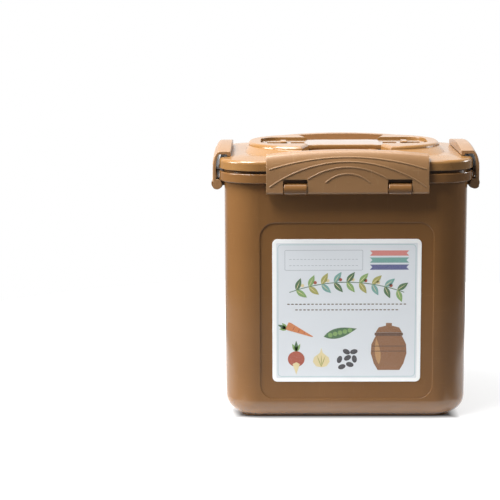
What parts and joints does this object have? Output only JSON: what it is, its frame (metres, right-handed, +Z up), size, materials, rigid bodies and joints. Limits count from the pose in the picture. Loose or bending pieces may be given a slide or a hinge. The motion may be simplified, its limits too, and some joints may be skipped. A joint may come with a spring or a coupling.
{
  "type": "food storage container",
  "caption": "Upright rounded fermentation container with a latched lid, carry strap on top, and a sliding press lid with a vent handle inside.",
  "frame": {"origin": "middle of the foot ring on the floor", "axes": "+Z up, -Y the front with the label, +X to the right seen from the front"},
  "size_m": [0.237, 0.179, 0.24],
  "materials": {
    "container_plastic": "satin moulded",
    "lid_plastic": "satin moulded",
    "latch_plastic": "satin moulded",
    "strap_plastic": "satin, flexible",
    "label_film": "printed film",
    "silicone": "matt",
    "press_lid_plastic": "satin moulded",
    "vent_handle_plastic": "satin moulded"
  },
  "bodies": {
    "container": {"container_body": "container_plastic", "front_label": "label_film"},
    "lid": {"outer_lid": "lid_plastic", "lid_gasket": "silicone"},
    "latch_front": {"latch_front": "latch_plastic"},
    "latch_back": {"latch_back": "latch_plastic"},
    "latch_left": {"latch_left": "latch_plastic"},
    "latch_right": {"latch_right": "latch_plastic"},
    "strap_grip": {"strap_grip": "strap_plastic"},
    "strap_link_left": {"strap_link_left": "strap_plastic"},
    "strap_link_right": {"strap_link_right": "strap_plastic"},
    "strap_end_left": {"strap_end_left": "strap_plastic"},
    "strap_end_right": {"strap_end_right": "strap_plastic"},
    "press_lid": {"press_lid": "press_lid_plastic", "press_lid_seal": "silicone"},
    "vent_handle": {"vent_handle": "vent_handle_plastic", "vent_pad": "silicone"}
  },
  "joints": [
    {"name": "lid_lift", "type": "slide", "parent": "container", "child": "lid", "axis": [0, 0, 1], "range_m": [0, 0.033]},
    {"name": "latch_front_swing", "type": "hinge", "parent": "container", "child": "latch_front", "pos_m": [0, -0.0843, 0.2063], "axis": [1, 0, 0], "range_deg": [0, 175]},
    {"name": "latch_back_swing", "type": "hinge", "parent": "container", "child": "latch_back", "pos_m": [0, 0.0843, 0.2063], "axis": [-1, 0, 0], "range_deg": [0, 175]},
    {"name": "latch_left_swing", "type": "hinge", "parent": "container", "child": "latch_left", "pos_m": [-0.1133, 0, 0.2063], "axis": [0, -1, 0], "range_deg": [0, 175]},
    {"name": "latch_right_swing", "type": "hinge", "parent": "container", "child": "latch_right", "pos_m": [0.1133, 0, 0.2063], "axis": [0, 1, 0], "range_deg": [0, 175]},
    {"name": "handle_lift", "type": "slide", "parent": "lid", "child": "strap_grip", "axis": [0, 0, 1], "range_m": [0, 0.0245]},
    {"name": "strap_link_left_bend", "type": "hinge", "parent": "strap_grip", "child": "strap_link_left", "pos_m": [-0.013, 0, 0.23625], "axis": [0, -1, 0], "range_deg": [0, 48]},
    {"name": "strap_link_right_bend", "type": "hinge", "parent": "strap_grip", "child": "strap_link_right", "pos_m": [0.013, 0, 0.23625], "axis": [0, 1, 0], "range_deg": [0, 48]},
    {"name": "strap_end_left_bend", "type": "hinge", "parent": "strap_link_left", "child": "strap_end_left", "pos_m": [-0.046, 0, 0.23625], "axis": [0, 1, 0], "range_deg": [0, 48]},
    {"name": "strap_end_right_bend", "type": "hinge", "parent": "strap_link_right", "child": "strap_end_right", "pos_m": [0.046, 0, 0.23625], "axis": [0, -1, 0], "range_deg": [0, 48]},
    {"name": "press_lid_slide", "type": "slide", "parent": "container", "child": "press_lid", "axis": [0, 0, 1], "range_m": [-0.135, 0.004]},
    {"name": "vent_handle_flip", "type": "hinge", "parent": "press_lid", "child": "vent_handle", "pos_m": [0, 0.024, 0.167], "axis": [-1, 0, 0], "range_deg": [0, 90]}
  ],
  "couplings": [
    {"joint": "latch_front_swing", "follows": "lid_lift", "rad_per_m": 92.5},
    {"joint": "latch_back_swing", "follows": "lid_lift", "rad_per_m": 92.5},
    {"joint": "latch_left_swing", "follows": "lid_lift", "rad_per_m": 92.5},
    {"joint": "latch_right_swing", "follows": "lid_lift", "rad_per_m": 92.5},
    {"joint": "strap_link_left_bend", "follows": "handle_lift", "rad_per_m": 34.17},
    {"joint": "strap_link_right_bend", "follows": "handle_lift", "rad_per_m": 34.17},
    {"joint": "strap_end_left_bend", "follows": "handle_lift", "rad_per_m": 34.17},
    {"joint": "strap_end_right_bend", "follows": "handle_lift", "rad_per_m": 34.17}
  ]
}
